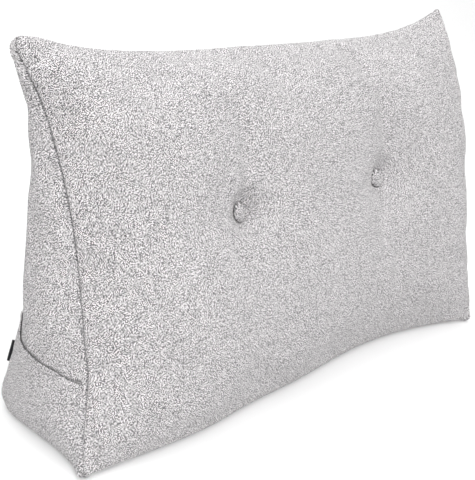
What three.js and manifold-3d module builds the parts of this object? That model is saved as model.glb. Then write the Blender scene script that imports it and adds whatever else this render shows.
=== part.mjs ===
// Backrest pillow: a wedge of filled cloth with a side pocket, a folded tab and two covered buttons.
// Millimetres. +Z is up, +X runs along the pillow, and the sloping front faces -Y.
import * as THREE from "three";
import { ParametricGeometry } from "three/addons/geometries/ParametricGeometry.js";
import { mergeVertices } from "three/addons/utils/BufferGeometryUtils.js";
import Module from "manifold-3d";

// Driving sizes, seam to seam, and how uneven the filled seams are
const width = 800;
const height = 500;
const depth = 200;
const apexLean = 10.5;        // how far the top seam lies in front of the back of the base
const topDipLeft = 36.8;      // sag of the top seam between its two ears
const topDipRight = 41.7;
const topPowerLeft = 4;       // larger for a top seam that rises closer to the ear
const topPowerRight = 5.1;
const sideInLeft = 45;        // how far the filling draws the side seams in
const sideInRight = -3;
const sidePower = 1.95;
const sideWaveLeft = -2.6;    // and how much more at the base than below the ear
const sideWaveRight = 9.7;
const frontBottomIn = 21.7;   // bow of the lower front seam towards the back
const frontBottomWave = 21.7; // and its wave, out at the left and in at the right
const sideFrontBow = 13.5;    // lean of the side seams off the flat front, back at the left
const footIn = 6.9;           // bow and wave of the side panels' lower seams
const footWave = 3.6;

// Crowns of the five panels
const frontCrown = 67;
const frontCrownUp = 0.19;    // how much fuller the front is at the top than at the foot
const backCrown = 40;
const sideCrown = 34;
const restDrop = 5;           // the base bulges this far below its seams, and is flat there

// Filled corners are blunt: the radius of each, and how far inside the seams' meeting point it lies
const earLeft = { radius: 15, inset: 26 };
const earRight = { radius: 4.5, inset: 10 };
const frontFoot = { radius: 9.9, inset: 10.8 };
const backFoot = { radius: 11.2, inset: 21.3 };

// Buttons, at shares of the front panel's width and height
const buttonShares = [0.304, 0.696];
const buttonHeightShare = 0.55;
const buttonRadius = 13.5;
const buttonThickness = 7;
const dimpleDepth = 18;
const dimpleSpread = 38;
const seatGap = 0.35;

// Folds that start at a button: direction across and up the panel, length, depth and half width
const folds = [
  { button: 0, across: 0.08, up: 1, length: 125, depth: 7, spread: 14 },
  { button: 0, across: -1, up: -0.05, length: 150, depth: 5, spread: 26 },
  { button: 1, across: -0.05, up: 1, length: 125, depth: 7, spread: 14 },
  { button: 1, across: 1, up: -0.12, length: 190, depth: 6, spread: 24 },
];

// Pocket on the left side panel
const pocketThickness = 2;
const pocketGap = 0.35;       // clearance to the panel where it is sewn on
const pocketGape = 11.5;      // how far the middle of its mouth stands off the panel
const pocketRows = 10;        // rows of the side grid that it starts from, before its mouth is cut
const mouthFront = 98;        // height of its mouth above the base seams, at the front and back seams
const mouthBack = 128;

// Black tab in the left back seam
const tabHeight = 30;
const tabReach = 9;
const tabThickness = 2.2;
const tabBottom = 54;         // height of its lower end above the base seams
const tabOffset = 1.3;        // from the seam line to its sewn edge, clear of the pocket's edge

// Grid cells along the width, up the panels and across the base
const cellsAcross = 42;
const cellsUp = 28;
const cellsDeep = 10;

const wasm = await Module();
wasm.setup();

const slopeLength = Math.hypot(height, depth - apexLean);
const slopeUp = new THREE.Vector3(0, depth - apexLean, height).divideScalar(slopeLength);
const frontNormal = new THREE.Vector3(0, -slopeUp.z, slopeUp.y);
const backNormal = new THREE.Vector3(0, height, apexLean).normalize();

// A bow of height 1 in the middle and 0 at both ends, flatter on top for a larger power
const bow = (share, power) => 1 - Math.abs(2 * share - 1) ** power;

// Cells are closer together near the seams, where the cloth turns
const spaced = (share) => 0.6 * (0.5 - 0.5 * Math.cos(Math.PI * share)) + 0.4 * share;

// The seams. Each takes a share of its length and returns a point on the seam.
const seamBetween = (x0, y0, z0, x1, y1, z1, pull) => (share) => {
  const point = new THREE.Vector3(x0, y0, z0).lerp(new THREE.Vector3(x1, y1, z1), share);
  return point.add(pull(share));
};

const topSeam = seamBetween(-width / 2, depth - apexLean, height, width / 2, depth - apexLean, height,
  (share) => {
    const dip = THREE.MathUtils.lerp(topDipLeft, topDipRight, share);
    return new THREE.Vector3(0, 0, -dip * bow(share, THREE.MathUtils.lerp(topPowerLeft, topPowerRight, share)));
  });

const frontSeam = seamBetween(-width / 2, 0, 0, width / 2, 0, 0,
  (share) => {
    const wave = frontBottomWave * Math.sin(2 * Math.PI * share);
    return new THREE.Vector3(0, frontBottomIn * bow(share, 3.5) - wave, 0);
  });

const backSeam = seamBetween(-width / 2, depth, 0, width / 2, depth, 0,
  (share) => new THREE.Vector3(0, -10 * bow(share, 3.5), 0));

// How far a side seam is drawn in
function drawnIn(side, share) {
  const [most, wave] = side < 0 ? [sideInLeft, sideWaveLeft] : [sideInRight, sideWaveRight];
  return most * bow(share, sidePower) + wave * Math.sin(2 * Math.PI * share);
}

function sideFrontSeam(side) {
  const end = [side * width / 2, depth - apexLean, height];
  return seamBetween(side * width / 2, 0, 0, ...end, (share) => {
    const pull = new THREE.Vector3(-side * drawnIn(side, share), 0, 0);
    return pull.addScaledVector(frontNormal, side * sideFrontBow * bow(share, 2));
  });
}

function sideBackSeam(side) {
  const end = [side * width / 2, depth - apexLean, height];
  return seamBetween(side * width / 2, depth, 0, ...end, (share) => (
    new THREE.Vector3(-side * drawnIn(side, share), 0, 0)));
}

// How far a side's lower seam stands out, t from the back to the front
const footOut = (t) => footWave * Math.sin(2 * Math.PI * t) - footIn * bow(t, 2);

// The corners where three seams meet, each with the middle of its round end and the way into the filling
function cornerAt(place, size, ends) {
  const inward = new THREE.Vector3();
  for (const end of ends) {
    inward.add(end.clone().sub(place).normalize());
  }
  inward.normalize();
  return { middle: place.clone().addScaledVector(inward, size.inset), inward, radius: size.radius };
}

const corners = [-1, 1].flatMap((side) => {
  const ear = (x) => new THREE.Vector3(x * width / 2, depth - apexLean, height);
  const foot = (x, y) => new THREE.Vector3(x * width / 2, y, 0);
  return [
    cornerAt(ear(side), side < 0 ? earLeft : earRight, [ear(-side), foot(side, 0), foot(side, depth)]),
    cornerAt(foot(side, 0), frontFoot, [foot(-side, 0), foot(side, depth), ear(side)]),
    cornerAt(foot(side, depth), backFoot, [foot(-side, depth), foot(side, 0), ear(side)]),
  ];
});

const smooth = (share) => share * share * (3 - 2 * share);

// Pushes a point near a corner out to the corner's ball, and draws the tip beyond it in
function blunted(point) {
  for (const { middle, inward, radius } of corners) {
    const away = point.clone().sub(middle);
    const distance = away.length();
    if (distance > 8 * radius) {
      continue;
    }
    away.normalize();
    const filled = (distance ** 5 + radius ** 5) ** 0.2;
    const tip = smooth(THREE.MathUtils.clamp(-away.dot(inward) / 0.9, 0, 1));
    const near = 1 - smooth(THREE.MathUtils.clamp((distance - radius) / (2.2 * radius), 0, 1));
    const drawn = THREE.MathUtils.lerp(filled, 1.04 * radius, tip * near);
    point.copy(middle).addScaledVector(away, drawn);
  }
  point.z = Math.max(point.z, -restDrop);
  return point;
}

// How full a panel is: 0 on its seams, 1 over most of its middle
const fullness = (u, v) => (Math.max(0, bow(u, 4)) * Math.max(0, bow(v, 2.6))) ** 0.52;

// A panel stretched between its lower, upper, left and right seams
function betweenSeams(lower, upper, left, right, u, v) {
  const point = lower(u).multiplyScalar(1 - v).addScaledVector(upper(u), v);
  point.addScaledVector(left(v), 1 - u).addScaledVector(right(v), u);
  point.addScaledVector(lower(0), -(1 - u) * (1 - v)).addScaledVector(lower(1), -u * (1 - v));
  return point.addScaledVector(upper(0), -(1 - u) * v).addScaledVector(upper(1), -u * v);
}

// How far the buttons and their folds hold the front panel down
function heldDown(u, v) {
  let total = 0;
  for (const share of buttonShares) {
    const away = Math.hypot((u - share) * width, (v - buttonHeightShare) * slopeLength);
    total += dimpleDepth * Math.exp(-away / dimpleSpread);
  }
  for (const fold of folds) {
    const x = (u - buttonShares[fold.button]) * width;
    const y = (v - buttonHeightShare) * slopeLength;
    const size = Math.hypot(fold.across, fold.up);
    const along = (x * fold.across + y * fold.up) / size;
    const beside = (x * fold.up - y * fold.across) / size;
    const reach = along < 0 ? fold.spread : fold.length;
    const fade = Math.exp(-((along / reach) ** 2));
    total += fold.depth * fade * Math.exp(-((beside / fold.spread) ** 2));
  }
  return total;
}

function frontPoint(u, v) {
  const point = betweenSeams(frontSeam, topSeam, sideFrontSeam(-1), sideFrontSeam(1), u, v);
  const full = fullness(u, v);
  const crown = frontCrown * (1 + frontCrownUp * (v - 0.5));
  return blunted(point.addScaledVector(frontNormal, crown * full - heldDown(u, v) * Math.min(1, full * 1.5)));
}

function backPoint(u, v) {
  const point = betweenSeams(backSeam, topSeam, sideBackSeam(-1), sideBackSeam(1), u, v);
  return blunted(point.addScaledVector(backNormal, backCrown * fullness(u, v)));
}

// The base: its bulge is pressed flat by the surface that the pillow stands on
function basePoint(u, t) {
  const point = frontSeam(u).lerp(backSeam(u), t);
  point.x += (2 * u - 1) * footOut(1 - t);
  point.z -= Math.min(restDrop, 1.5 * restDrop * fullness(u, t));
  return blunted(point);
}

// A side panel, t from the back seam to the front seam and v from the base to the ear
function sidePoint(side, t, v) {
  const point = sideBackSeam(side)(v).lerp(sideFrontSeam(side)(v), t);
  const upFade = Math.max(0, Math.sin(Math.PI * v ** 0.62)) ** 0.8;
  point.x += side * (sideCrown * (4 * t * (1 - t)) ** 0.62 * upFade + footOut(t) * (1 - v) ** 3);
  return blunted(point);
}

// Rounded to 0.01 mm, so that panels that share a seam share its points
const rounded = (point) => point.multiplyScalar(100).round().divideScalar(100);

function panelGrid(cellsWide, cellsHigh, place) {
  return new ParametricGeometry((a, b, target) => {
    target.copy(rounded(place(spaced(a), spaced(b))));
  }, cellsWide, cellsHigh).toNonIndexed();
}

// One closed solid from open patches that share their edges. Cells that end in a point lose a triangle.
function closedSolid(patches) {
  const positions = patches.flatMap((patch) => Array.from(patch.getAttribute("position").array));
  const loose = new THREE.BufferGeometry();
  loose.setAttribute("position", new THREE.Float32BufferAttribute(positions, 3));
  const merged = mergeVertices(loose, 0.002);
  const kept = [];
  for (let i = 0; i < merged.index.count; i += 3) {
    const corners = [0, 1, 2].map((step) => merged.index.getX(i + step));
    if (new Set(corners).size === 3) {
      kept.push(...corners);
    }
  }
  merged.setIndex(kept);
  return merged;
}

function toManifold(geometry) {
  const mesh = new wasm.Mesh({
    numProp: 3,
    vertProperties: Float32Array.from(geometry.getAttribute("position").array),
    triVerts: Uint32Array.from(geometry.index.array),
  });
  return new wasm.Manifold(mesh);
}

function toGeometry(solid) {
  const mesh = solid.getMesh();
  const geometry = new THREE.BufferGeometry();
  geometry.setAttribute("position", new THREE.Float32BufferAttribute(mesh.vertProperties, 3));
  geometry.setIndex(Array.from(mesh.triVerts));
  geometry.computeVertexNormals();
  return geometry;
}

// A round profile [radius, height] turned about its axis, as one closed geometry
function turned(profile, segments) {
  const points = profile.map(([radius, rise]) => new THREE.Vector2(radius, rise));
  return closedSolid([new THREE.LatheGeometry(points, segments).toNonIndexed()]);
}

const bodyPatches = [
  panelGrid(cellsAcross, cellsUp, frontPoint),
  panelGrid(cellsAcross, cellsUp, (u, v) => backPoint(1 - u, v)),
  panelGrid(cellsAcross, cellsDeep, (u, t) => basePoint(u, 1 - t)),
  panelGrid(cellsDeep, cellsUp, (t, v) => sidePoint(-1, t, v)),
  panelGrid(cellsDeep, cellsUp, (t, v) => sidePoint(1, 1 - t, v)),
];

// Where a button sits: the bottom of its dimple, turned to face along the front's normal
function buttonPlace(share) {
  const place = new THREE.Matrix4();
  const turn = new THREE.Quaternion().setFromUnitVectors(new THREE.Vector3(0, 1, 0), frontNormal);
  place.compose(frontPoint(share, buttonHeightShare), turn, new THREE.Vector3(1, 1, 1));
  return place;
}

// The cushion, with a flat-bottomed round seat in each dimple
function cushionGeometry() {
  let solid = toManifold(closedSolid(bodyPatches));
  for (const share of buttonShares) {
    const radius = buttonRadius + seatGap;
    const seat = turned([[0, -1], [radius, -1], [radius, 40], [0, 40]], 28);
    seat.applyMatrix4(buttonPlace(share));
    solid = solid.subtract(toManifold(seat));
  }
  return toGeometry(solid);
}

// A covered button: a low dome with a rounded rim, its back in the seat
function buttonGeometry(share) {
  const floor = seatGap - 1;
  const profile = [[0, floor], [buttonRadius - 1.5, floor], [buttonRadius, floor + 1.5]];
  const domeSteps = 6;
  const domeBase = floor + 2.8;
  for (let i = 0; i <= domeSteps; i += 1) {
    const angle = (i / domeSteps) * Math.PI / 2;
    const radius = i === domeSteps ? 0 : buttonRadius * Math.cos(angle);
    profile.push([radius, domeBase + (buttonThickness - 2.8) * Math.sin(angle)]);
  }
  const geometry = turned(profile, 28);
  geometry.applyMatrix4(buttonPlace(share));
  geometry.computeVertexNormals();
  return geometry;
}

// The pocket: a sheet over the lower part of the left side panel, open at its upper edge
function pocketGeometry() {
  const topShare = pocketRows / cellsUp;
  const skin = (stand) => (a, b) => {
    const t = spaced(a);
    const v = spaced(b * topShare);
    const mouthShare = THREE.MathUtils.lerp(mouthBack, mouthFront, t) / height;
    const gape = pocketGape * (4 * t * (1 - t)) ** 0.8 * Math.min(1.3, v / mouthShare) ** 1.5;
    const point = sidePoint(-1, t, v);
    point.x -= pocketGap + gape + stand;
    return point;
  };
  const inner = skin(0);
  const outer = skin(pocketThickness);
  const patch = (place, wide, high) => new ParametricGeometry((a, b, target) => {
    target.copy(rounded(place(a, b)));
  }, wide, high).toNonIndexed();
  const rim = (edge, cells) => patch((a, b) => inner(...edge(a)).lerp(outer(...edge(a)), b), cells, 1);
  const geometry = closedSolid([
    patch(outer, cellsDeep, pocketRows),
    patch((a, b) => inner(b, a), pocketRows, cellsDeep),
    rim((a) => [1 - a, 1], cellsDeep),
    rim((a) => [a, 0], cellsDeep),
    rim((b) => [0, 1 - b], pocketRows),
    rim((b) => [1, b], pocketRows),
  ]);
  const up = new THREE.Vector3(0, mouthFront - mouthBack, depth * 0.8).normalize();
  const onMouth = sidePoint(-1, 1, mouthFront / height);
  return toGeometry(toManifold(geometry).trimByPlane([-up.x, -up.y, -up.z], -up.dot(onMouth)));
}

// The folded tab: two layers with a round fold, standing out of the back seam
function tabGeometry() {
  const half = tabThickness / 2;
  const section = new THREE.Shape();
  section.moveTo(0, -half);
  section.lineTo(tabReach - half, -half);
  section.absarc(tabReach - half, 0, half, -Math.PI / 2, Math.PI / 2, false);
  section.lineTo(0, half);
  section.closePath();
  const geometry = new THREE.ExtrudeGeometry(section, {
    depth: tabHeight, bevelEnabled: false, curveSegments: 8, steps: 1,
  });
  const solid = closedSolid([geometry]);
  solid.computeVertexNormals();
  return solid;
}

function cloth(color, roughness) {
  return new THREE.MeshStandardMaterial({ color, roughness, metalness: 0 });
}

function named(name, geometry, material) {
  const mesh = new THREE.Mesh(geometry, material);
  mesh.name = name;
  return mesh;
}

const group = new THREE.Group();
group.add(named("cushion", cushionGeometry(), cloth(0xc9c5c4, 0.95)));
group.add(named("pocket", pocketGeometry(), cloth(0xccc8c7, 0.95)));
buttonShares.forEach((share, i) => {
  const name = ["button_left", "button_right"][i];
  group.add(named(name, buttonGeometry(share), cloth(0xc4c0bf, 0.95)));
});

// The tab's place on the seam: it runs along the seam and points out and back
const tab = named("label_tab", tabGeometry(), cloth(0x1c1c20, 0.85));
const tabFoot = sideBackSeam(-1)(tabBottom / height);
const tabHead = sideBackSeam(-1)((tabBottom + tabHeight) / height);
const tabAlong = tabHead.clone().sub(tabFoot).normalize();
const tabOut = new THREE.Vector3(-0.6, 0.8, 0);
tabOut.addScaledVector(tabAlong, -tabOut.dot(tabAlong)).normalize();
const tabAcross = new THREE.Vector3().crossVectors(tabAlong, tabOut);
tab.applyMatrix4(new THREE.Matrix4().makeBasis(tabOut, tabAcross, tabAlong));
tab.position.copy(tabFoot).addScaledVector(tabOut, tabOffset);
group.add(tab);

// The origin is the middle of the base
const bounds = new THREE.Box3().setFromObject(group, true);
const middle = bounds.getCenter(new THREE.Vector3());
group.position.set(-middle.x, -middle.y, -bounds.min.z);

export default group;
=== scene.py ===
import math
from functools import partial
import bmesh
import bpy
from mathutils import Matrix, Vector, noise
from mathutils.bvhtree import BVHTree
from mathutils.kdtree import KDTree


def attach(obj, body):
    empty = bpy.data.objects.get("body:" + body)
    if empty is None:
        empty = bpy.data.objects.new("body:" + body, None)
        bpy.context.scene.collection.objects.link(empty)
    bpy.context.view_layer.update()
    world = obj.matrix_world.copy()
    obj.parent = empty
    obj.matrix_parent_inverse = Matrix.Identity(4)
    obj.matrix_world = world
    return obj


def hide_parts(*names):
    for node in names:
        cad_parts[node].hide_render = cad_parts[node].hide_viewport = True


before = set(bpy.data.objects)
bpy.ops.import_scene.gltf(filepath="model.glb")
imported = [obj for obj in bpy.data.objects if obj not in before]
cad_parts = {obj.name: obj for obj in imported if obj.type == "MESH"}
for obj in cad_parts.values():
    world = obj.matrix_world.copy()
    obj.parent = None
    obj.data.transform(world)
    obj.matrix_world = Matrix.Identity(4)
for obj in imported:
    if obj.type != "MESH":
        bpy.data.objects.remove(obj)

# Backrest pillow: a filled wedge of melange cloth with a side pocket, a ribbon tab and two covered buttons.
# Metres, in the frame of the solids: +Z up, +X along the pillow, the sloping front faces -Y.

scene = bpy.context.scene
scene.view_settings.view_transform = "Standard"
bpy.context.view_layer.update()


def smoothStep(low, high, value):
    t = min(1.0, max(0.0, (value - low) / (high - low)))
    return t * t * (3 - 2 * t)


def bell(value, spread):
    return math.exp(-((value / spread) ** 2))


def newPiece(name, bm, material):
    mesh = bpy.data.meshes.new(name)
    bm.to_mesh(mesh)
    bm.free()
    piece = bpy.data.objects.new(name, mesh)
    scene.collection.objects.link(piece)
    mesh.materials.append(material)
    mesh.polygons.foreach_set("use_smooth", [True] * len(mesh.polygons))
    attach(piece, "root")
    return piece


# Camera, fitted to the corners of the pillow in the photo
photoCamera = {
    "place": (-0.98243, -0.88830, 0.74553),
    "azimuth": 44.984,      # degrees from +Y towards +X
    "elevation": 23.000,    # degrees down
    "roll": -7.119,         # degrees, with the right side of the picture up
    "focalPixels": 971.21,
    "pictureHeight": 480,
}


def makeCamera(values):
    turn, tilt, roll = (math.radians(values[key]) for key in ("azimuth", "elevation", "roll"))
    forward = Vector((math.sin(turn) * math.cos(tilt), math.cos(turn) * math.cos(tilt), -math.sin(tilt)))
    right = Vector((math.cos(turn), -math.sin(turn), 0))
    down = forward.cross(right)
    pictureRight = right * math.cos(roll) + down * math.sin(roll)
    pictureUp = right * math.sin(roll) - down * math.cos(roll)
    camera = bpy.data.objects.new("photoCamera", bpy.data.cameras.new("photoCamera"))
    scene.collection.objects.link(camera)
    axes = Matrix((pictureRight, pictureUp, -forward)).transposed().to_4x4()
    camera.matrix_world = Matrix.Translation(values["place"]) @ axes
    camera.data.sensor_width = 36
    camera.data.lens = values["focalPixels"] * 36 / values["pictureHeight"]
    camera.data.clip_end = 50
    scene.camera = camera


makeCamera(photoCamera)
print("camera is set")


# Shader helpers
def feed(tree, socket, value):
    if isinstance(value, bpy.types.NodeSocket):
        tree.links.new(value, socket)
    else:
        socket.default_value = value


def mathNode(tree, operation, first, second=0.0, clamp=False):
    node = tree.nodes.new("ShaderNodeMath")
    node.operation = operation
    node.use_clamp = clamp
    feed(tree, node.inputs[0], first)
    feed(tree, node.inputs[1], second)
    return node.outputs[0]


def mixNode(tree, kind, factor, first, second, blend="MIX"):
    node = tree.nodes.new("ShaderNodeMix")
    node.data_type = kind
    start = {"FLOAT": 2, "RGBA": 6}[kind]
    if kind == "RGBA":
        node.blend_type = blend
    feed(tree, node.inputs[0], factor)
    feed(tree, node.inputs[start], first)
    feed(tree, node.inputs[start + 1], second)
    return node.outputs[{"FLOAT": 0, "RGBA": 2}[kind]]


def combine(tree, x, y, z=0.0):
    node = tree.nodes.new("ShaderNodeCombineXYZ")
    for place, value in enumerate((x, y, z)):
        feed(tree, node.inputs[place], value)
    return node.outputs[0]


def added(tree, first, *others):
    total = first
    for other in others:
        total = mathNode(tree, "ADD", total, other)
    return total


def tinted(tree, color, level):
    return mixNode(tree, "RGBA", 1.0, color, combine(tree, level, level, level), "MULTIPLY")


def noiseNode(tree, vector, scale, detail=0.0):
    node = tree.nodes.new("ShaderNodeTexNoise")
    node.inputs["Scale"].default_value = scale
    node.inputs["Detail"].default_value = detail
    tree.links.new(vector, node.inputs["Vector"])
    return node.outputs["Fac"]


def rangeNode(tree, value, low, high, newLow=0.0, newHigh=1.0):
    node = tree.nodes.new("ShaderNodeMapRange")
    for place, amount in enumerate((value, low, high, newLow, newHigh)):
        feed(tree, node.inputs[place], amount)
    return node.outputs[0]


def newGroup(name, inputs, outputs):
    tree = bpy.data.node_groups.new(name, "ShaderNodeTree")
    for label, kind, value in inputs:
        socket = tree.interface.new_socket(name=label, in_out="INPUT", socket_type="NodeSocket" + kind)
        if value is not None:
            socket.default_value = value
    for label, kind in outputs:
        tree.interface.new_socket(name=label, in_out="OUTPUT", socket_type="NodeSocket" + kind)
    return tree, tree.nodes.new("NodeGroupInput").outputs, tree.nodes.new("NodeGroupOutput").inputs


# Plain weave of mixed yarns. Cloth Place is in metres along the two thread directions.
weaveLook = {
    "warpStep": 7.31,           # how far apart neighbouring yarns lie in the noise
    "weftStep": 5.17,
    "yarnChanges": 90.0,        # changes of tone per metre along a yarn
    "yarnTone": 0.20,
    "besideShare": 0.15,        # how much each of the four crossings beside it sets off a crossing
    "crossingTone": 1.30,
    "fleckScale": 1000.0,       # fibres blended about 1 mm apart
    "fleckTone": 0.45,
    "fleckRelief": 0.8,
    "cloudScale": 110.0,
    "cloudTone": 0.04,
    "middleTone": 0.47,
    "shades": (0.80, 1.06),     # painted shade between the threads and painted light on top of them
}


def threadRound(tree, place):
    return mathNode(tree, "SINE", mathNode(tree, "MULTIPLY", mathNode(tree, "FRACT", place), math.pi))


def threadHeight(tree, over, under):
    dip = mathNode(tree, "ADD", mathNode(tree, "MULTIPLY", under, 0.5), 0.5)
    return mathNode(tree, "MULTIPLY", over, dip)


def toneAround(tree, value, reach, most):
    return rangeNode(tree, value, 0.5 - reach, 0.5 + reach, -most, most)


def makeWeaveGroup(look):
    tree, given, made = newGroup("melangeWeave", [
        ("Cloth Place", "Vector", None),
        ("Thread Width", "Float", 0.0012),
        ("Yarn Mix", "Float", 1.0),
        ("Dark Yarn", "Color", (0.2, 0.2, 0.2, 1)),
        ("Light Yarn", "Color", (0.8, 0.8, 0.8, 1)),
    ], [("Color", "Color"), ("Height", "Float")])
    split = tree.nodes.new("ShaderNodeSeparateXYZ")
    tree.links.new(given["Cloth Place"], split.inputs[0])
    across, along = split.outputs[0], split.outputs[1]
    column = mathNode(tree, "DIVIDE", across, given["Thread Width"])
    row = mathNode(tree, "DIVIDE", along, given["Thread Width"])
    warp, weft = mathNode(tree, "FLOOR", column), mathNode(tree, "FLOOR", row)
    warpOnTop = mathNode(tree, "FLOORED_MODULO", mathNode(tree, "ADD", warp, weft), 2.0)
    # each yarn changes tone slowly along its length
    warpPlace = combine(tree, mathNode(tree, "MULTIPLY", warp, look["warpStep"]),
                        mathNode(tree, "MULTIPLY", along, look["yarnChanges"]))
    weftPlace = combine(tree, mathNode(tree, "MULTIPLY", across, look["yarnChanges"]),
                        mathNode(tree, "MULTIPLY", weft, look["weftStep"]), 9.0)
    yarnTone = mixNode(tree, "FLOAT", warpOnTop, noiseNode(tree, weftPlace, 1.0, 1.0),
                       noiseNode(tree, warpPlace, 1.0, 1.0))
    # each crossing has its own tone, set off against the four beside it
    tones = []
    for right, up in ((0, 0), (1, 0), (-1, 0), (0, 1), (0, -1)):
        crossing = tree.nodes.new("ShaderNodeTexWhiteNoise")
        crossing.noise_dimensions = "2D"
        place = combine(tree, mathNode(tree, "ADD", warp, right), mathNode(tree, "ADD", weft, up))
        tree.links.new(place, crossing.inputs["Vector"])
        tones.append(crossing.outputs["Value"])
    beside = mathNode(tree, "MULTIPLY", added(tree, *tones[1:]), look["besideShare"])
    setOff = mathNode(tree, "SUBTRACT", tones[0], mathNode(tree, "ADD", beside, 0.2))
    fleck = noiseNode(tree, given["Cloth Place"], look["fleckScale"], 1.0)
    cloud = noiseNode(tree, given["Cloth Place"], look["cloudScale"], 1.0)
    crossingTone = look["crossingTone"]
    tone = added(tree, toneAround(tree, yarnTone, 0.20, look["yarnTone"]),
                 rangeNode(tree, setOff, -1.0, 1.0, -crossingTone, crossingTone),
                 toneAround(tree, fleck, 0.22, look["fleckTone"]),
                 toneAround(tree, cloud, 0.20, look["cloudTone"]))
    tone = mathNode(tree, "MULTIPLY", tone, given["Yarn Mix"])
    tone = mathNode(tree, "ADD", tone, look["middleTone"], clamp=True)
    color = mixNode(tree, "RGBA", tone, given["Dark Yarn"], given["Light Yarn"])
    warpRound, weftRound = threadRound(tree, column), threadRound(tree, row)
    height = mixNode(tree, "FLOAT", warpOnTop, threadHeight(tree, weftRound, warpRound),
                     threadHeight(tree, warpRound, weftRound))
    # painted shade between the threads and painted light on their tops, from the weave's height
    shade = rangeNode(tree, height, 0.0, 1.0, *look["shades"])
    tree.links.new(tinted(tree, color, shade), made["Color"])
    fleckHeight = mathNode(tree, "MULTIPLY", fleck, look["fleckRelief"])
    tree.links.new(mathNode(tree, "ADD", height, fleckHeight), made["Height"])
    return tree


# Slow random changes of tone, and painted shade that darkens the colour where the painted shade mask is 1
def makeToneAndShadeGroup():
    tree, given, made = newGroup("clothToneAndShade", [
        ("Color", "Color", (1, 1, 1, 1)),
        ("Cloth Place", "Vector", None),
        ("Painted Shade Mask", "Float", 0.0),
        ("Unevenness", "Float", 0.04),
        ("Gathered Shade", "Float", 0.5),
    ], [("Color", "Color"), ("Roughness", "Float")])
    slow = noiseNode(tree, given["Cloth Place"], 9.0, 3.0)
    drift = mathNode(tree, "MULTIPLY", rangeNode(tree, slow, 0.3, 0.7, -1.0, 1.0), given["Unevenness"])
    sunk = mathNode(tree, "MULTIPLY", given["Painted Shade Mask"], given["Gathered Shade"])
    level = mathNode(tree, "SUBTRACT", mathNode(tree, "ADD", drift, 1.0), sunk)
    tree.links.new(tinted(tree, given["Color"], level), made["Color"])
    tree.links.new(rangeNode(tree, slow, 0.3, 0.7, 0.90, 0.97), made["Roughness"])
    return tree


weaveGroup = makeWeaveGroup(weaveLook)
toneAndShadeGroup = makeToneAndShadeGroup()


def placeGroup(tree, group, values):
    node = tree.nodes.new("ShaderNodeGroup")
    node.node_tree = group
    for label, value in values.items():
        feed(tree, node.inputs[label], value)
    return node.outputs


clothFinish = {
    "reliefDepth": 0.0004,
    "sheenRoughness": 0.6,
    "specular": 0.2,
}


def makeCloth(name, values):
    material = bpy.data.materials.new(name)
    material.use_nodes = True
    tree = material.node_tree
    shader = tree.nodes["Principled BSDF"]
    clothMap = tree.nodes.new("ShaderNodeUVMap")
    clothMap.uv_map = "clothPlace"
    # painted shade: a mask on the mesh darkens the cloth's colour in seams, button rings and the pocket
    mask = tree.nodes.new("ShaderNodeAttribute")
    mask.attribute_name = "paintedShadeMask"
    weave = placeGroup(tree, weaveGroup, {
        "Cloth Place": clothMap.outputs[0],
        "Thread Width": values["threadWidth"],
        "Yarn Mix": values["yarnMix"],
        "Dark Yarn": values["darkYarn"],
        "Light Yarn": values["lightYarn"],
    })
    toneAndShade = placeGroup(tree, toneAndShadeGroup, {
        "Color": weave["Color"],
        "Cloth Place": clothMap.outputs[0],
        "Painted Shade Mask": mask.outputs["Fac"],
        "Unevenness": values["unevenness"],
        "Gathered Shade": values["gatheredShade"],
    })
    tree.links.new(toneAndShade["Color"], shader.inputs["Base Color"])
    tree.links.new(toneAndShade["Roughness"], shader.inputs["Roughness"])
    bump = tree.nodes.new("ShaderNodeBump")
    bump.inputs["Strength"].default_value = values["relief"]
    bump.inputs["Distance"].default_value = clothFinish["reliefDepth"]
    tree.links.new(weave["Height"], bump.inputs["Height"])
    tree.links.new(bump.outputs[0], shader.inputs["Normal"])
    shader.inputs["Sheen Weight"].default_value = values["sheen"]
    shader.inputs["Sheen Roughness"].default_value = clothFinish["sheenRoughness"]
    shader.inputs["Specular IOR Level"].default_value = clothFinish["specular"]
    return material


melangeValues = {
    "threadWidth": 0.00125,
    "yarnMix": 1.0,
    "darkYarn": (0.025, 0.024, 0.026, 1),
    "lightYarn": (0.90, 0.874, 0.884, 1),
    "unevenness": 0.03,
    "gatheredShade": 0.55,
    "relief": 0.5,
    "sheen": 0.15,
}
ribbonValues = {
    "threadWidth": 0.0006,
    "yarnMix": 0.6,
    "darkYarn": (0.004, 0.004, 0.005, 1),
    "lightYarn": (0.022, 0.022, 0.026, 1),
    "unevenness": 0.05,
    "gatheredShade": 0.2,
    "relief": 0.6,
    "sheen": 0.1,
}
melangeCloth = makeCloth("melangeCloth", melangeValues)
ribbonCloth = makeCloth("ribbonCloth", ribbonValues)
threadCloth = makeCloth("threadCloth", melangeValues | {"threadWidth": 0.0003, "yarnMix": 0.3, "relief": 0.3})
print("materials are made")


# The cushion's panels, with the same driving sizes as its solid
cushion = {
    "width": 0.8,
    "height": 0.5,
    "depth": 0.2,
    "apexLean": 0.0105,
    "topDip": (0.0368, 0.0417),     # at the left and at the right
    "topPower": (4.0, 5.1),
    "sideIn": (0.045, -0.003),
    "sideWave": (-0.0026, 0.0097),
    "sidePower": 1.95,
    "earOut": 0.0045,               # how much fuller the seams run just below the left ear
    "seamKink": (0.0045, 0.0040),   # the left front seam's sway above the pocket and at its foot
    "frontBottomIn": 0.0217,
    "frontBottomWave": 0.0217,
    "frontBottomDent": 0.0080,      # left of the middle
    "backBottomIn": 0.010,
    "sideFrontBow": 0.0135,
    "footIn": 0.0069,
    "footWave": 0.0036,
    "frontCrown": 0.067,
    "frontCrownUp": 0.19,
    "backCrown": 0.040,
    "sideCrown": 0.034,
    "restDrop": 0.005,
    "frameShift": (-0.010264, -0.105988, 0.005),    # from the base's front seam to the frame's origin
    "cellsAcross": 96,
    "cellsUp": 64,
    "cellsDeep": 24,
    "fill": 0.8,
}
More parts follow.
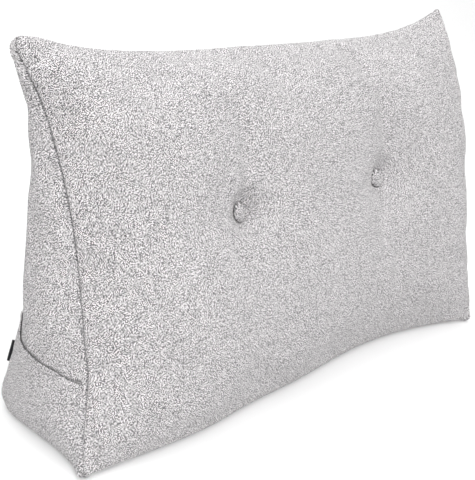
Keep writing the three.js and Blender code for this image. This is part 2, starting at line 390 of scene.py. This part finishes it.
# Blunt corners: the radius of the round end, and how far it lies inside the seams' meeting point
bluntEnds = {
    "earLeft": (0.0134, 0.0250),
    "earRight": (0.0045, 0.0066),
    "frontFoot": (0.0099, 0.0108),
    "backFoot": (0.0112, 0.0213),
}
tufting = {
    "shares": (0.315, 0.696),   # of the front panel's width
    "heightShare": 0.55,
    "dimpleDepth": 0.017,
    "dimpleSpread": 0.038,
    "dimpleFlat": 0.012,        # half width of its soft bottom
    "seatEdge": (0.012, 0.036),     # the cloth is flat inside the first radius, and free outside the second
    "seatTilts": (0.25, -0.10),     # how steeply each button's seat goes in toward the right
    "buttonRadius": 0.0135,
    "buttonRise": 0.0070,
    # folds: button, direction across and up the panel, length, depth, half width
    "folds": (
        (0, 0.08, 1.0, 0.125, 0.009, 0.012),
        (0, -1.0, -0.05, 0.150, 0.007, 0.026),
        (1, -0.05, 1.0, 0.125, 0.007, 0.014),
        (1, 1.0, -0.12, 0.190, 0.006, 0.024),
    ),
}
apexDepth = cushion["depth"] - cushion["apexLean"]
slopeLength = math.hypot(cushion["height"], apexDepth)
frontNormal = Vector((0, -cushion["height"], apexDepth)).normalized()
backNormal = Vector((0, cushion["height"], cushion["apexLean"])).normalized()
frameShift = Vector(cushion["frameShift"])


def bow(share, power):
    return 1 - abs(2 * share - 1) ** power


def between(pair, share):
    return pair[0] * (1 - share) + pair[1] * share


def spaced(share):
    return 0.7 * (0.5 - 0.5 * math.cos(math.pi * share)) + 0.3 * share


def earPlace(side):
    return Vector((side * cushion["width"] / 2, apexDepth, cushion["height"]))


def footPlace(side, y):
    return Vector((side * cushion["width"] / 2, y, 0))


def topSeam(s):
    point = earPlace(-1).lerp(earPlace(1), s)
    point.z -= between(cushion["topDip"], s) * bow(s, between(cushion["topPower"], s))
    return point


def frontSeam(s):
    wave = cushion["frontBottomWave"] * math.sin(2 * math.pi * s)
    drawnIn = cushion["frontBottomIn"] * bow(s, 3.5) + cushion["frontBottomDent"] * bell(s - 0.36, 0.10)
    return Vector(((s - 0.5) * cushion["width"], drawnIn - wave, 0))


def backSeam(s):
    return Vector(((s - 0.5) * cushion["width"], cushion["depth"] - cushion["backBottomIn"] * bow(s, 3.5), 0))


def sideSeam(side, footY, s):
    number = 0 if side < 0 else 1
    drawnIn = cushion["sideIn"][number] * bow(s, cushion["sidePower"])
    drawnIn += cushion["sideWave"][number] * math.sin(2 * math.pi * s)
    if side < 0:
        drawnIn -= cushion["earOut"] * bell(s - 0.92, 0.05)
    return footPlace(side, footY).lerp(earPlace(side), s) - Vector((side * drawnIn, 0, 0))


def sideFrontSeam(side, s):
    point = sideSeam(side, 0, s) + frontNormal * (side * cushion["sideFrontBow"] * bow(s, 2))
    if side < 0:
        above, foot = cushion["seamKink"]
        sway = above * bell(s - 0.22, 0.06) - foot * bell(s - 0.07, 0.05)
        point.x += sway * smoothStep(0, 0.04, s)      # the panels still meet at the corner
    return point


def sideBackSeam(side, s):
    return sideSeam(side, cushion["depth"], s)


def footOut(t):
    return cushion["footWave"] * math.sin(2 * math.pi * t) - cushion["footIn"] * bow(t, 2)


def makeCorners():
    corners = []
    depth = cushion["depth"]
    for side, ear in ((-1, "earLeft"), (1, "earRight")):
        front, back, top = footPlace(side, 0), footPlace(side, depth), earPlace(side)
        for place, size, ends in ((top, ear, (earPlace(-side), front, back)),
                                  (front, "frontFoot", (footPlace(-side, 0), back, top)),
                                  (back, "backFoot", (footPlace(-side, depth), front, top))):
            inward = sum(((end - place).normalized() for end in ends), Vector()).normalized()
            radius, inset = bluntEnds[size]
            corners.append((place + inward * inset, inward, radius, max(3.2 * radius, 2.6 * inset)))
    return corners


corners = makeCorners()


# Pushes a point near a corner out to the corner's round end, and draws the tip beyond it in
def blunted(point):
    for middle, inward, radius, reach in corners:
        away = point - middle
        distance = away.length
        if distance > 8 * radius:
            continue
        away.normalize()
        filled = (distance ** 5 + radius ** 5) ** 0.2
        tip = smoothStep(0, 0.9, -away.dot(inward)) * (1 - smoothStep(radius, reach, distance))
        point = middle + away * (filled + (1.04 * radius - filled) * tip)
    point.z = max(point.z, -cushion["restDrop"])
    return point + frameShift


def fullness(u, v):
    return (max(0.0, bow(u, 4)) * max(0.0, bow(v, 2.6))) ** 0.52


def betweenSeams(lower, upper, left, right, u, v):
    point = lower(u) * (1 - v) + upper(u) * v + left(v) * (1 - u) + right(v) * u
    return point - (lower(0) * ((1 - u) * (1 - v)) + lower(1) * (u * (1 - v))
                    + upper(0) * ((1 - u) * v) + upper(1) * (u * v))


def heldDown(u, v):
    total = 0
    places = []
    for share, tilt in zip(tufting["shares"], tufting["seatTilts"]):
        x, y = (u - share) * cushion["width"], (v - tufting["heightShare"]) * slopeLength
        seat = smoothStep(*tufting["seatEdge"], math.hypot(x, y))
        places.append((x * seat, y * seat))
        flat = tufting["dimpleFlat"]
        away = math.hypot(x * seat, y * seat, flat)
        total += tufting["dimpleDepth"] * math.exp((flat - away) / tufting["dimpleSpread"])
        total += tilt * x * (1 - seat)
    for button, across, up, length, depth, spread in tufting["folds"]:
        x, y = places[button]
        size = math.hypot(across, up)
        along, beside = (x * across + y * up) / size, (x * up - y * across) / size
        total += depth * bell(along, spread if along < 0 else length) * bell(beside, spread)
    return total


def frontPoint(u, v):
    point = betweenSeams(frontSeam, topSeam, partial(sideFrontSeam, -1), partial(sideFrontSeam, 1), u, v)
    full = fullness(u, v)
    crown = cushion["frontCrown"] * (1 + cushion["frontCrownUp"] * (v - 0.5))
    return blunted(point + frontNormal * (crown * full - heldDown(u, v) * min(1, full * 1.5)))


def backPoint(u, v):
    point = betweenSeams(backSeam, topSeam, partial(sideBackSeam, -1), partial(sideBackSeam, 1), u, v)
    return blunted(point + backNormal * (cushion["backCrown"] * fullness(u, v)))


def basePoint(u, t):
    point = frontSeam(u).lerp(backSeam(u), t)
    point.x += (2 * u - 1) * footOut(1 - t)
    point.z -= min(cushion["restDrop"], 1.5 * cushion["restDrop"] * fullness(u, t))
    return blunted(point)


def sidePoint(side, t, v):
    point = sideBackSeam(side, v).lerp(sideFrontSeam(side, v), t)
    upFade = max(0.0, math.sin(math.pi * v ** 0.62)) ** 0.8
    # flatter beside the left back seam, above the tab
    power = 0.62 + (0.55 * bell(v - 0.27, 0.13) * smoothStep(0, 0.45, 0.45 - t) if side < 0 else 0)
    point.x += side * (cushion["sideCrown"] * (4 * t * (1 - t)) ** power * upFade + footOut(t) * (1 - v) ** 3)
    return blunted(point)


basePanel, sidePanels = 2, (3, 4)


# One panel: a grid moved to its place on the pillow, and mapped by lengths measured along the cloth
def addPanel(bm, number, cellsWide, cellsHigh, place):
    clothMap = bm.loops.layers.uv["clothPlace"]
    panel = bm.faces.layers.int["panel"]
    before = set(bm.faces)
    grid = bmesh.ops.create_grid(bm, x_segments=cellsWide, y_segments=cellsHigh, size=0.5)["verts"]
    byCell = {(round((v.co.x + 0.5) * cellsWide), round((v.co.y + 0.5) * cellsHigh)): v for v in grid}
    for (i, j), vert in byCell.items():
        vert.co = place(spaced(i / cellsWide), spaced(j / cellsHigh))
    flat = {vert: [0.0, 0.0] for vert in grid}
    for axis, most, others in ((0, cellsWide, cellsHigh), (1, cellsHigh, cellsWide)):
        for other in range(others + 1):
            line = [byCell[(step, other) if axis == 0 else (other, step)] for step in range(most + 1)]
            lengths = [0.0]
            for first, second in zip(line, line[1:]):
                lengths.append(lengths[-1] + (second.co - first.co).length)
            for vert, length in zip(line, lengths):
                flat[vert][axis] = length - lengths[most // 2]
    for face in set(bm.faces) - before:
        face[panel] = number
        for loop in face.loops:
            across, up = flat[loop.vert]
            loop[clothMap].uv = (across + number * 1.37, up + number * 0.53)


def sewPanels():
    bm = bmesh.new()
    bm.loops.layers.uv.new("clothPlace")
    bm.faces.layers.int.new("panel")
    across, up, deep = cushion["cellsAcross"], cushion["cellsUp"], cushion["cellsDeep"]
    addPanel(bm, 0, across, up, frontPoint)
    addPanel(bm, 1, across, up, lambda u, v: backPoint(1 - u, v))
    addPanel(bm, basePanel, across, deep, lambda u, t: basePoint(u, 1 - t))
    addPanel(bm, sidePanels[0], deep, up, lambda t, v: sidePoint(-1, t, v))
    addPanel(bm, sidePanels[1], deep, up, lambda t, v: sidePoint(1, 1 - t, v))
    bmesh.ops.remove_doubles(bm, verts=bm.verts, dist=0.00002)
    bmesh.ops.dissolve_degenerate(bm, dist=0.00001, edges=bm.edges)
    bmesh.ops.recalc_face_normals(bm, faces=bm.faces)
    return bm


def seamVerts(bm):
    panel = bm.faces.layers.int["panel"]
    return {vert for vert in bm.verts if len({face[panel] for face in vert.link_faces}) > 1}


buttonPlaces = [frontPoint(share, tufting["heightShare"]) for share in tufting["shares"]]


# Filling: the sewn panels are blown up between their seams, buttons and resting face, which stay put
filling = {
    "pressure": 4.0,
    "spareCloth": 0.012,     # how much larger the cloth is cut than the filling
    "frames": 20,
    "mostMove": 0.008,
    "mostSideMove": 0.003,
    "buttonHold": 0.019,     # the cloth nearer to a button stays put
    "quality": 6,
    "mass": 0.35,
    "stretchStiffness": 20,
    "bendStiffness": 6.0,
}


def toButton(point):
    return min((point - place).length for place in buttonPlaces)


def fillCushion(piece):
    held = piece.vertex_groups.new(name="held")
    bm = bmesh.new()
    bm.from_mesh(piece.data)
    bm.verts.ensure_lookup_table()
    fixed = {v.index for v in seamVerts(bm)}
    fixed |= {v.index for v in bm.verts if toButton(v.co) < filling["buttonHold"]}
    panel = bm.faces.layers.int["panel"]
    fixed |= {v.index for v in bm.verts if any(face[panel] == basePanel for face in v.link_faces)}
    onSides = {v.index for v in bm.verts if any(face[panel] in sidePanels for face in v.link_faces)}
    bm.free()
    held.add(sorted(fixed), 1.0, "REPLACE")
    start = [v.co.copy() for v in piece.data.vertices]
    cloth = piece.modifiers.new("filling", "CLOTH")
    settings = cloth.settings
    settings.quality = filling["quality"]
    settings.mass = filling["mass"]
    settings.use_pressure = True
    settings.uniform_pressure_force = filling["pressure"]
    settings.shrink_min = -filling["spareCloth"]
    settings.tension_stiffness = filling["stretchStiffness"]
    settings.compression_stiffness = filling["stretchStiffness"]
    settings.bending_stiffness = filling["bendStiffness"]
    settings.vertex_group_mass = "held"
    settings.effector_weights.gravity = 0
    for number in range(1, filling["frames"] + 1):
        scene.frame_set(number)
    filled = bpy.data.meshes.new_from_object(piece.evaluated_get(bpy.context.evaluated_depsgraph_get()))
    piece.modifiers.clear()
    piece.vertex_groups.clear()
    for vert, old in zip(filled.vertices, start):
        move = vert.co - old
        most = filling["mostSideMove" if vert.index in onSides else "mostMove"]
        most *= smoothStep(0, 0.07, old.z) * smoothStep(0.012, 0.11, toButton(old))
        if move.length > most:
            vert.co = old + move * (most / move.length)
        vert.co.z = max(0.0, vert.co.z)
    piece.data = filled
    scene.frame_set(1)


def subdivided(piece):
    modifier = piece.modifiers.new("finer", "SUBSURF")
    modifier.levels = modifier.render_levels = 1
    finer = bpy.data.meshes.new_from_object(piece.evaluated_get(bpy.context.evaluated_depsgraph_get()))
    piece.modifiers.clear()
    piece.data = finer


# What the sewing does to the cloth: sunk seams, pressed seam allowances, gathers and button seats
sewing = {
    "seamDepth": 0.0018,
    "seamWidth": 0.0011,
    "seamShadeWidth": 0.0009,
    "allowanceWidth": 0.006,
    "allowanceRise": 0.0011,
    "rollRise": 0.0006,
    "rollPlace": 0.0045,
    "rollWidth": 0.0030,
    "gatherDepth": 0.0004,
    "gatherReach": 0.020,
    "gatherScale": 55,
    "unevenDepth": 0.0012,
    "unevenScale": 11,
    "seatDepth": 0.0012,
    "seatReach": 0.06,
    "pleats": 9,
    "pleatDepth": 0.0006,
    "ringWidth": 0.0009,
    "ringShade": 1.2,
    "buttonCuts": ((0.030, 3), (0.020, 1)),     # reach around a button, and cuts of each edge there
    "longestSeamEdge": 0.006,                   # edges at a seam that are cut once more
}


# How far the stitches, the allowance under the cloth and the gathers move a point near a seam
def seamRise(point, seamPoint, away, onSide):
    rise = -sewing["seamDepth"] * bell(away, sewing["seamWidth"])
    if onSide:
        edge = sewing["allowanceWidth"]
        pressed = smoothStep(0.001, 0.0028, away) * (1 - smoothStep(edge, edge + 0.002, away))
        rise += sewing["allowanceRise"] * pressed
    else:
        rise += sewing["rollRise"] * bell(away - sewing["rollPlace"], sewing["rollWidth"])
    gather = noise.noise(seamPoint * sewing["gatherScale"]) * sewing["gatherDepth"]
    rise += gather * bell(away, sewing["gatherReach"]) * smoothStep(0.001, 0.008, away)
    uneven = noise.fractal(point * sewing["unevenScale"], 0.6, 2.0, 2) * sewing["unevenDepth"]
    return rise + uneven * smoothStep(0.005, 0.06, away)


# Painted shade: a dark line along each seam groove, weaker near the floor
def seamShade(point, seamPoint, away):
    shade = bell(away, sewing["seamShadeWidth"]) * (1.1 + 0.4 * noise.noise(seamPoint * 9))
    return shade * (0.5 * smoothStep(0, 0.006, point.z) + 0.5 * smoothStep(0.04, 0.12, point.z))


# The seat that a button presses in, the pleats around it and a painted shade ring at its edge, darker on the
# pocket's side
def seatAround(offset):
    flat = offset - frontNormal * offset.dot(frontNormal)
    radius, edge = flat.length, tufting["buttonRadius"]
    turn = math.atan2(flat.x, flat.z)
    rise = -sewing["seatDepth"] * (1 - smoothStep(edge - 0.0006, edge + 0.0030, radius))
    pleat = math.cos(turn * sewing["pleats"] + 2 * math.sin(turn * 2)) * sewing["pleatDepth"]
    rise += pleat * smoothStep(0.014, 0.017, radius) * bell(max(0, radius - 0.017), 0.012)
    pocketSideShade = smoothStep(-0.6, 0.7, -math.sin(turn + 0.4))
    ring = bell(radius - edge - 0.0005, sewing["ringWidth"])
    return rise, sewing["ringShade"] * ring * (0.12 + 0.88 * pocketSideShade)


def cutFiner(bm):
    for place in buttonPlaces:
        for reach, cuts in sewing["buttonCuts"]:
            close = [e for e in bm.edges if max((v.co - place).length for v in e.verts) < reach]
            bmesh.ops.subdivide_edges(bm, edges=close, cuts=cuts, use_grid_fill=True)
    onSeams = seamVerts(bm)
    longest = sewing["longestSeamEdge"]
    close = [e for e in bm.edges if e.calc_length() < longest and any(v in onSeams for v in e.verts)]
    bmesh.ops.subdivide_edges(bm, edges=close, cuts=1, use_grid_fill=True)


def finishSewing(piece):
    bm = bmesh.new()
    bm.from_mesh(piece.data)
    panel = bm.faces.layers.int["panel"]
    cutFiner(bm)
    seams = sorted(seamVerts(bm), key=lambda v: v.index)
    tree = KDTree(len(seams))
    for number, vert in enumerate(seams):
        tree.insert(vert.co, number)
    tree.balance()
    bm.normal_update()
    # painted shade of the seams and button rings, kept for each point
    mask = bm.verts.layers.float.new("paintedShadeMask")
    moves = {}
    for vert in bm.verts:
        seamPoint, number, away = tree.find(vert.co)
        onSide = any(face[panel] in sidePanels for face in vert.link_faces)
        rise = seamRise(vert.co, seamPoint, away, onSide)
        shade = seamShade(vert.co, seamPoint, away)
        for place in buttonPlaces:
            offset = vert.co - place
            if offset.length < sewing["seatReach"] and vert.co.y < 0.05:
                seatRise, seatShade = seatAround(offset)
                rise += seatRise
                shade = max(shade, seatShade)
        if vert.co.z < 0.0005:
            rise = 0.0
        moves[vert] = vert.normal * rise
        vert[mask] = shade
    for vert, move in moves.items():
        vert.co += move
        vert.co.z = max(0.0, vert.co.z)
    bm.to_mesh(piece.data)
    bm.free()
    piece.data.polygons.foreach_set("use_smooth", [True] * len(piece.data.polygons))


body = newPiece("filled_cushion", sewPanels(), melangeCloth)
print("panels are sewn")
fillCushion(body)
print("cushion is filled")
subdivided(body)
finishSewing(body)
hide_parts("cushion")
print("cushion is done")

bodyShape = BVHTree.FromObject(body, bpy.context.evaluated_depsgraph_get())


# Covered buttons: a domed disc of cloth with its edge turned under
coveredButton = {
    "radius": 0.0133,
    "backLevel": -0.0010,
    "domeHeight": 0.0042,
    "domePower": 3.2,
    "flatShare": 0.80,      # of the radius, where the turned edge starts
    "crimps": 24,
    "crimpShare": 0.008,
    "leans": (17.0, -3.0),  # degrees, with the pocket's side standing up
    "steps": 72,
}


def makeButton(name, place, lean, node):
    bm = bmesh.new()
    clothMap = bm.loops.layers.uv.new("clothPlace")
    radius, top, back = coveredButton["radius"], tufting["buttonRise"], coveredButton["backLevel"]
    flat, dome = coveredButton["flatShare"], coveredButton["domeHeight"]
    profile = [(0.0, back), (radius * flat, back)]
    for step in range(1, 7):
        angle = math.pi / 2 * step / 6
        profile.append((radius * (flat + (1 - flat) * math.sin(angle)),
                        back + (top - dome - back) * (1 - math.cos(angle))))
    for step in range(1, 13):
        share = 1 - step / 12
        profile.append((radius * share, top - dome * share ** coveredButton["domePower"]))
    chain = [bm.verts.new((r, 0, z)) for r, z in profile]
    edges = [bm.edges.new(pair) for pair in zip(chain, chain[1:])]
    bmesh.ops.spin(bm, geom=chain + edges, axis=(0, 0, 1), cent=(0, 0, 0), steps=coveredButton["steps"],
                   angle=2 * math.pi, use_merge=True)
    bmesh.ops.remove_doubles(bm, verts=bm.verts, dist=0.00001)
    bmesh.ops.recalc_face_normals(bm, faces=bm.faces)
    for vert in bm.verts:
        reach = math.hypot(vert.co.x, vert.co.y) / radius
        turn = math.atan2(vert.co.y, vert.co.x)
        crimp = coveredButton["crimpShare"] * math.cos(turn * coveredButton["crimps"])
        vert.co *= 1 + crimp * smoothStep(0.75, 1.0, reach)
    # painted shade on the lower rim of the button, where its edge turns under
    mask = bm.verts.layers.float.new("paintedShadeMask")
    for vert in bm.verts:
        vert[mask] = 1 - smoothStep(0.0012, 0.0026, vert.co.z)
    for face in bm.faces:
        for loop in face.loops:
            loop[clothMap].uv = (loop.vert.co.x + 0.9, loop.vert.co.y + loop.vert.co.z)
    turned = Vector((0, 0, 1)).rotation_difference(frontNormal).to_matrix().to_4x4()
    leaning = Matrix.Rotation(math.radians(lean), 4, "Y")
    bmesh.ops.transform(bm, matrix=Matrix.Translation(place) @ turned @ leaning, verts=bm.verts)
    button = newPiece(name, bm, melangeCloth)
    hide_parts(node)


for name, place, lean, node in zip(("covered_button_left", "covered_button_right"), buttonPlaces,
                                   coveredButton["leans"], ("button_left", "button_right")):
    makeButton(name, place, lean, node)
print("buttons are made")


# Side pocket: one layer of cloth on the left side panel, with a turned hem at its mouth
pocket = {
    "thickness": 0.0011,
    "standOff": 0.0003,
    "gape": 0.0015,
    "mouthBack": 0.130,
    "mouthFront": 0.098,
    "mouthSag": 0.0020,
    "cutArea": 0.0205,          # square metres: it narrows upward and its mouth slopes
    "edgeTrim": 0.010,          # share of the panel's depth left free at each seam
    "hemWidth": 0.010,
    "hemRise": 0.0004,
    "grooveShade": 0.4,
    "cellsDeep": 64,
    "cellsUp": 40,
    "stitchLength": 0.0030,
    "stitchPitch": 0.0042,
    "stitchedShare": 0.94,      # of the mouth's length
}


def pocketMouth(t):
    sag = pocket["mouthSag"] * 4 * t * (1 - t)
    return pocket["mouthBack"] * (1 - t) + pocket["mouthFront"] * t - sag


def pocketSkin(t, heightShare):
    mouth = pocketMouth(t)
    v = max(0.004, heightShare * mouth / cushion["height"])
    start = sidePoint(-1, t, v)
    hit = bodyShape.ray_cast(start + Vector((-0.05, 0, 0)), Vector((1, 0, 0)), 0.09)[0]
    surface = hit if hit else start
    gape = pocket["gape"] * (4 * t * (1 - t)) ** 0.8 * heightShare ** 1.5
    return Vector((surface.x - pocket["standOff"] - gape, start.y, start.z))


# Painted shade: the side panel's colour is darkened where it goes down into the pocket
def shadeInPocket(piece):
    mask = piece.data.attributes["paintedShadeMask"].data
    for vert in piece.data.vertices:
        if vert.co.x > -0.36 or vert.normal.x > -0.6 or vert.co.z > 0.2:
            continue
        height, y = vert.co.z - frameShift.z, vert.co.y - frameShift.y
        share = height / cushion["height"]
        front, back = sideFrontSeam(-1, share).y, sideBackSeam(-1, share).y
        t = (back - y) / (back - front)
        if 0.03 < t < 0.97:
            below = pocketMouth(t) - height
            mask[vert.index].value = max(mask[vert.index].value, smoothStep(0, 0.0020, below))


def makePocket():
    bm = bmesh.new()
    clothMap = bm.loops.layers.uv.new("clothPlace")
    mask = bm.verts.layers.float.new("paintedShadeMask")
    wide, high = pocket["cellsDeep"], pocket["cellsUp"]
    grid = bmesh.ops.create_grid(bm, x_segments=wide, y_segments=high, size=0.5)["verts"]
    trim = pocket["edgeTrim"]
    flat = {}
    for vert in grid:
        t = trim + (1 - 2 * trim) * spaced(vert.co.x + 0.5)
        share = spaced(vert.co.y + 0.5)
        flat[vert] = (t * cushion["depth"], share * pocketMouth(t))
        vert.co = pocketSkin(t, share)
        below = (1 - share) * pocketMouth(t)
        hem = 1 - smoothStep(pocket["hemWidth"] - 0.0012, pocket["hemWidth"] + 0.0012, below)
        groove = bell(below - pocket["hemWidth"] + 0.0010, 0.0011)
        vert.co.x -= pocket["hemRise"] * (hem - groove)
        # painted shade in the groove under the hem
        vert[mask] = pocket["grooveShade"] * groove
    for face in bm.faces:
        for loop in face.loops:
            x, y = flat[loop.vert]
            loop[clothMap].uv = (x + 1.7, y + 0.21)
    bmesh.ops.recalc_face_normals(bm, faces=bm.faces)
    if sum(face.normal.x for face in bm.faces) > 0:
        bmesh.ops.reverse_faces(bm, faces=bm.faces)
    piece = newPiece("side_pocket", bm, melangeCloth)
    wall = piece.modifiers.new("wall", "SOLIDIFY")
    wall.thickness = pocket["thickness"]
    wall.offset = 1.0
    rounded = piece.modifiers.new("softEdges", "SUBSURF")
    rounded.levels = rounded.render_levels = 1
    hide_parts("pocket")


def makeHemStitches():
    bm = bmesh.new()
    stitched = pocket["stitchedShare"]
    count = int(cushion["depth"] * stitched / pocket["stitchPitch"])
    for number in range(count):
        t = (1 - stitched) / 2 + stitched * (number + 0.5) / count
        share = 1 - (pocket["hemWidth"] - 0.001) / pocketMouth(t)
        here, there = pocketSkin(t - 0.004, share), pocketSkin(t + 0.004, share)
        along = (there - here).normalized()
        place = (here + there) / 2 - Vector((pocket["thickness"] + 0.0003, 0, 0))
        stitch = bmesh.ops.create_icosphere(bm, subdivisions=1, radius=1)["verts"]
        size = Matrix.Diagonal((pocket["stitchLength"] / 2, 0.00035, 0.00032, 1))
        turned = Vector((1, 0, 0)).rotation_difference(along).to_matrix().to_4x4()
        bmesh.ops.transform(bm, matrix=Matrix.Translation(place) @ turned @ size, verts=stitch)
    clothMap = bm.loops.layers.uv.new("clothPlace")
    for face in bm.faces:
        for loop in face.loops:
            loop[clothMap].uv = (loop.vert.co.y, loop.vert.co.z)
    newPiece("pocket_hem_stitches", bm, threadCloth)


shadeInPocket(body)
makePocket()
makeHemStitches()
print("pocket is sewn on")


# Ribbon tab: a strip folded double, its two ends in the back seam
ribbonTab = {
    "height": 0.030,
    "reach": 0.0068,
    "shiftIn": 0.0020,
    "bottom": 0.054,
    "offset": 0.0013,
    "thickness": 0.0005,
    "foldRadius": 0.00085,
    "out": (-0.6, 0.8, 0),      # from the back corner of the left side
    "sway": 0.0004,
}


def makeTab():
    bm = bmesh.new()
    clothMap = bm.loops.layers.uv.new("clothPlace")
    foot = sideBackSeam(-1, ribbonTab["bottom"] / cushion["height"]) + frameShift
    head = sideBackSeam(-1, (ribbonTab["bottom"] + ribbonTab["height"]) / cushion["height"]) + frameShift
    up = (head - foot).normalized()
    out = Vector(ribbonTab["out"])
    out = (out - up * out.dot(up)).normalized()
    across = up.cross(out)
    radius = ribbonTab["foldRadius"]
    straight = ribbonTab["reach"] - radius - ribbonTab["thickness"] / 2
    run = 2 * straight + math.pi * radius
    grid = bmesh.ops.create_grid(bm, x_segments=36, y_segments=20, size=0.5)["verts"]
    flat = {}
    for vert in grid:
        s, rise = (vert.co.x + 0.5) * run, (vert.co.y + 0.5) * ribbonTab["height"]
        flat[vert] = (s, rise)
        if s < straight:
            reach, side = s, -radius
        elif s > run - straight:
            reach, side = run - s, radius
        else:
            angle = (s - straight) / radius - math.pi / 2
            reach, side = straight + radius * math.cos(angle), radius * math.sin(angle)
        sway = ribbonTab["sway"] * math.sin(rise * 210) * smoothStep(0, straight, reach)
        vert.co = foot + up * rise + out * (ribbonTab["offset"] + reach) + across * (side + sway)
        vert.co.x += ribbonTab["shiftIn"]
    for face in bm.faces:
        for loop in face.loops:
            loop[clothMap].uv = flat[loop.vert]
    bmesh.ops.recalc_face_normals(bm, faces=bm.faces)
    piece = newPiece("ribbon_tab", bm, ribbonCloth)
    wall = piece.modifiers.new("wall", "SOLIDIFY")
    wall.thickness = ribbonTab["thickness"]
    wall.offset = 0.0
    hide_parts("label_tab")


makeTab()
print("tab is made")


# Studio: a pale floor, a bright surround and wide soft lights
studio = {
    "floorSize": 24.0,
    "floorColor": (0.66, 0.66, 0.66, 1),
    "floorRoughness": 0.9,
    "floorGlow": 0.23,      # a lit table top keeps the shadows pale
    "surround": 0.27,
    # place, point that it faces, width, power in watts
    "lights": (
        ((-1.5, -1.9, 1.9), (0, 0, 0.22), 1.6, 52.0),
        ((0.9, -1.8, 2.8), (0, 0, 0.22), 2.4, 26.0),
        ((1.7, -1.5, 1.3), (0.2, 0, 0.1), 1.8, 4.0),
        ((0.2, -0.6, 3.4), (0, 0, 0.22), 3.0, 54.0),
        ((0.6, 1.6, 3.4), (0, 0, 0.22), 4.0, 28.0),
        ((-2.4, 0.3, 2.0), (0, 0, 0.22), 2.0, 11.0),
        ((3.3, 4.6, 2.2), (3.3, 4.6, 0), 6.0, 140.0),
        ((-1.2, 2.2, 2.4), (-1.2, 2.6, 0), 3.0, 42.0),
    ),
}


def makeStudio(values):
    bm = bmesh.new()
    bmesh.ops.create_grid(bm, x_segments=1, y_segments=1, size=values["floorSize"] / 2)
    mesh = bpy.data.meshes.new("floor")
    bm.to_mesh(mesh)
    bm.free()
    floor = bpy.data.objects.new("floor", mesh)
    scene.collection.objects.link(floor)
    paper = bpy.data.materials.new("floorPaper")
    paper.use_nodes = True
    shader = paper.node_tree.nodes["Principled BSDF"]
    shader.inputs["Base Color"].default_value = values["floorColor"]
    shader.inputs["Roughness"].default_value = values["floorRoughness"]
    shader.inputs["Emission Color"].default_value = (1, 1, 1, 1)
    shader.inputs["Emission Strength"].default_value = values["floorGlow"]
    mesh.materials.append(paper)
    world = bpy.data.worlds.new("surround")
    world.use_nodes = True
    background = world.node_tree.nodes["Background"]
    background.inputs["Color"].default_value = (1, 1, 1, 1)
    background.inputs["Strength"].default_value = values["surround"]
    scene.world = world
    for number, (place, target, size, power) in enumerate(values["lights"]):
        lamp = bpy.data.lights.new(f"softLight{number}", "AREA")
        lamp.size = size
        lamp.energy = power
        light = bpy.data.objects.new(lamp.name, lamp)
        scene.collection.objects.link(light)
        aim = (Vector(target) - Vector(place)).to_track_quat("-Z", "Y")
        light.matrix_world = Matrix.Translation(place) @ aim.to_matrix().to_4x4()


makeStudio(studio)
print("studio is lit")
